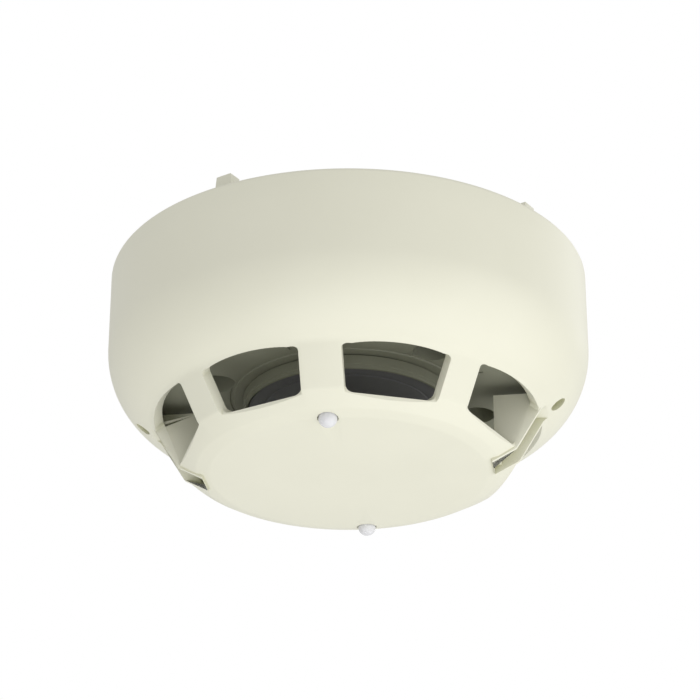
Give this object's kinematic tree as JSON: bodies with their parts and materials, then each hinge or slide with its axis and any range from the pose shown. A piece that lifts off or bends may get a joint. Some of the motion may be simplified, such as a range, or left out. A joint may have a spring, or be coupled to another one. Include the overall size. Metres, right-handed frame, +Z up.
{
  "type": "heat detector",
  "caption": "Ceiling heat detector: round ivory head with eight air windows and two tool channels on a low four-footed twist-lock base.",
  "frame": {"origin": "centre of the ceiling plane that the tips of the four feet touch", "axes": "+Z up towards the ceiling, the detector hangs below the origin; -Y is the side that the first indicator is nearest to"},
  "size_m": [0.1, 0.1, 0.0511],
  "materials": {
    "ivory": "satin moulded, fine grain",
    "chassis": "satin moulded",
    "cavity": "matt moulded",
    "carrier": "matt dark",
    "sleeve": "matt",
    "bead": "dipped epoxy",
    "clear": "clear moulded",
    "led": "diffused epoxy",
    "board": "solder mask",
    "chip": "moulded package",
    "can": "drawn can",
    "brass": "rolled strip",
    "tin": "tinned copper",
    "steel": "zinc plated"
  },
  "bodies": {
    "base": {"base_plate": "ivory", "terminal_clip_1": "brass", "wire_plate_1": "steel", "terminal_screw_1": "steel", "terminal_clip_2": "brass", "wire_plate_2": "steel", "terminal_screw_2": "steel", "terminal_clip_3": "brass", "wire_plate_3": "steel", "terminal_screw_3": "steel", "terminal_clip_4": "brass", "wire_plate_4": "steel", "terminal_screw_4": "steel"},
    "head": {"outer_cover": "ivory", "chassis": "chassis", "contact_blade_1": "tin", "blade_rivet_1": "brass", "board_pin_1": "brass", "contact_blade_2": "tin", "blade_rivet_2": "brass", "board_pin_2": "brass", "contact_blade_3": "tin", "blade_rivet_3": "brass", "board_pin_3": "brass", "contact_blade_4": "tin", "blade_rivet_4": "brass", "board_pin_4": "brass", "circuit_board": "board", "processor": "chip", "regulator": "chip", "reservoir_capacitor": "can", "reference_thermistor": "bead", "reed_switch": "clear", "led_1": "led", "led_2": "led", "light_pipe_1": "clear", "light_pipe_2": "clear", "cavity_plate": "cavity", "board_screw_1": "steel", "board_screw_2": "steel", "board_screw_3": "steel", "board_screw_4": "steel", "sensor_carrier": "cavity", "carrier_face": "carrier", "thermistor_sleeve": "sleeve", "thermistor_lead_left": "tin", "thermistor_lead_right": "tin", "thermistor_bead": "bead"}
  },
  "joints": [
    {"name": "head_twist", "type": "hinge", "parent": "base", "child": "head", "pos_m": [0, 0, 0], "axis": [0, 0, -1], "range_deg": [0, 20]}
  ]
}
